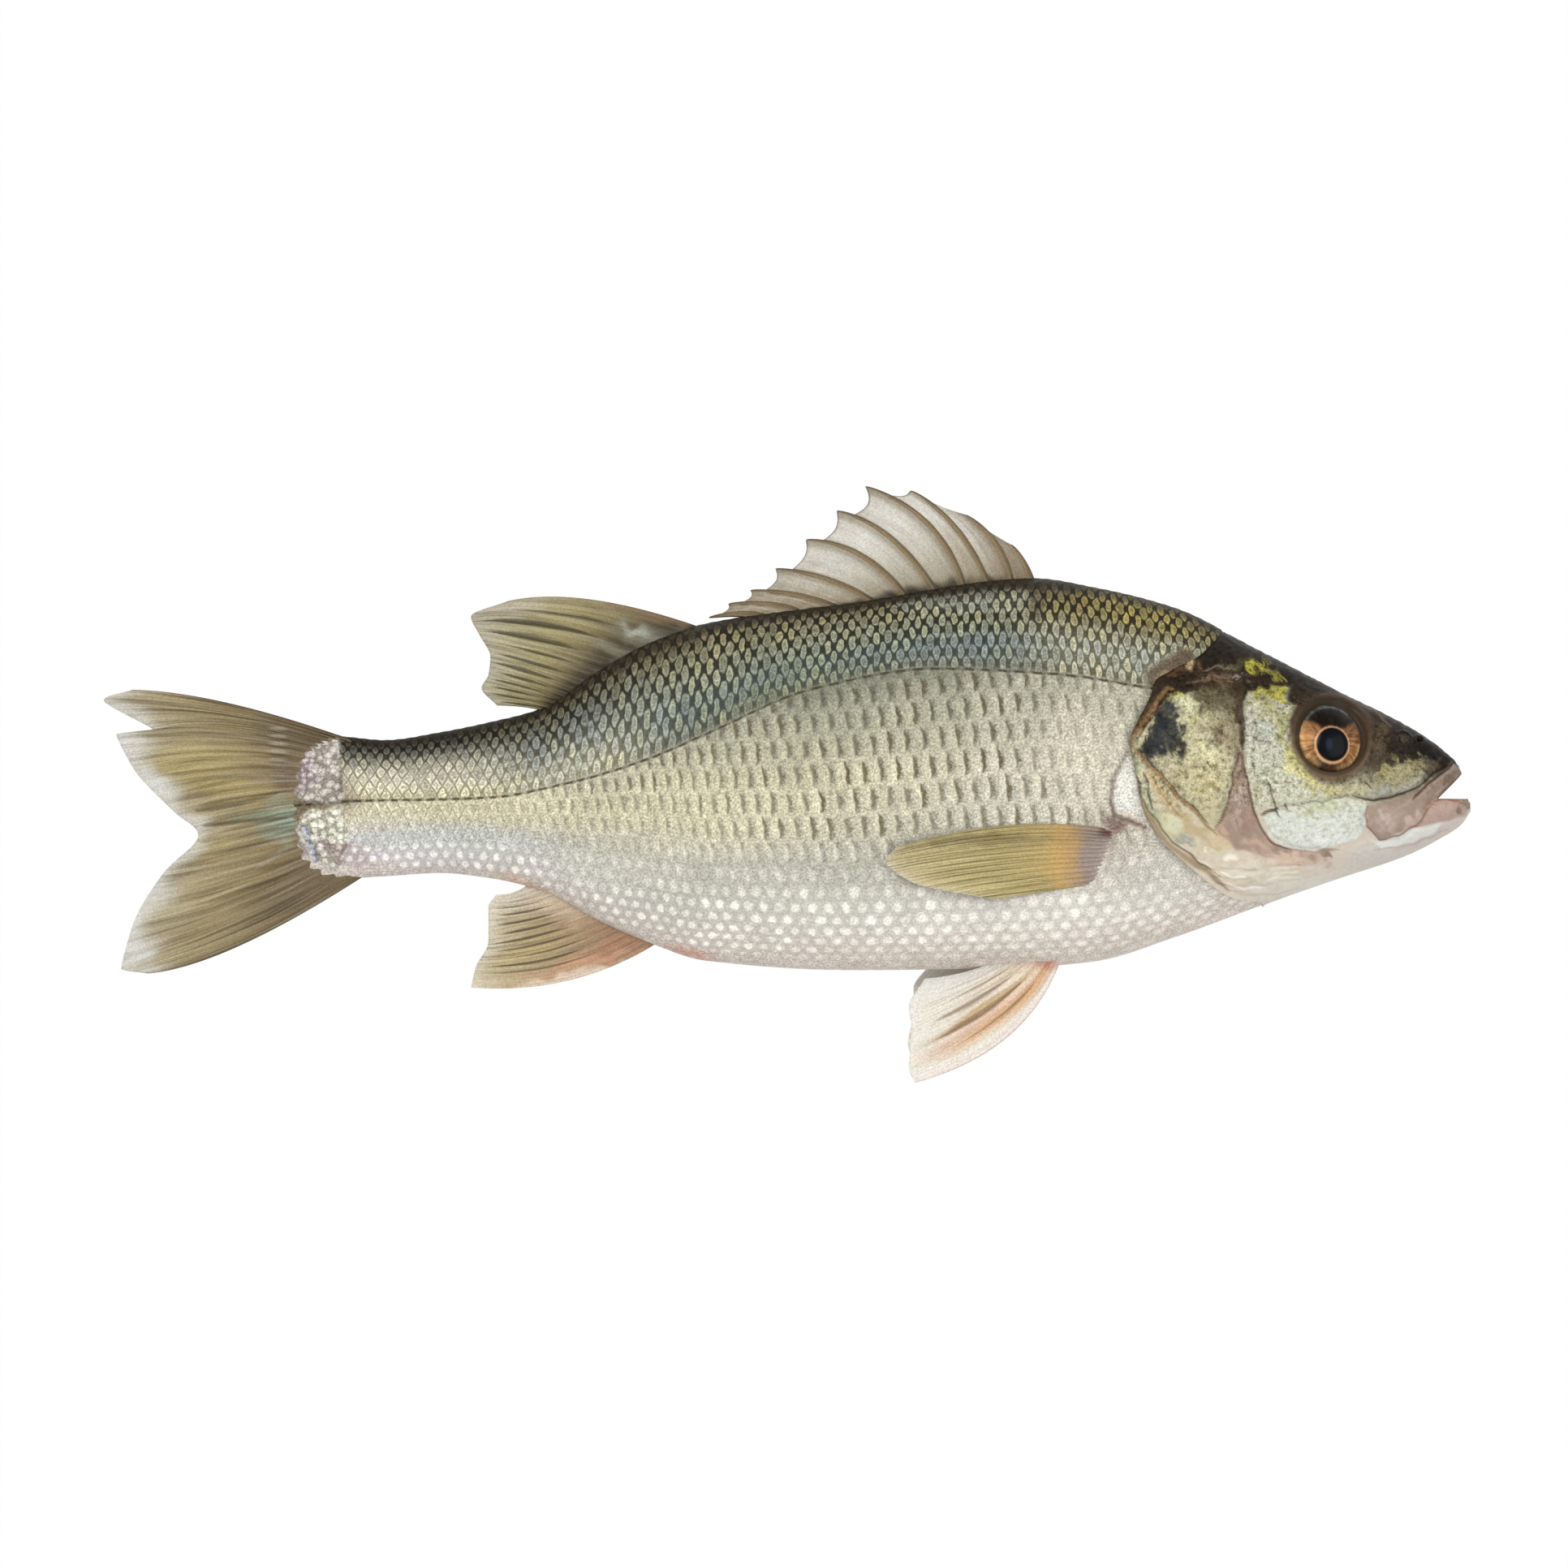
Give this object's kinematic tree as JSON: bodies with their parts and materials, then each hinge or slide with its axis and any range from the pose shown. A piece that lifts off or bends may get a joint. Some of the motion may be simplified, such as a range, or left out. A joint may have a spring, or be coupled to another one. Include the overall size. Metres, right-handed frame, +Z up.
{
  "type": "whole raw fish",
  "caption": "Whole raw perch-like fish with scales, spiny fins and a forked tail, lying on its side as on a counter or tray.",
  "frame": {"origin": "on the surface the fish lies on, under the middle of its outline", "axes": "+X from the tail towards the head, +Y from the belly towards the back, +Z up out of the right flank"},
  "size_m": [0.2801, 0.1215, 0.0384],
  "materials": {
    "skin": "wet scaly skin, silver on the belly and dark olive on the back",
    "eye": "clear wet eye with a golden brown ring and a black pupil"
  },
  "bodies": {
    "root": {"fish": "skin", "eye_right": "eye", "eye_left": "eye"}
  },
  "joints": []
}
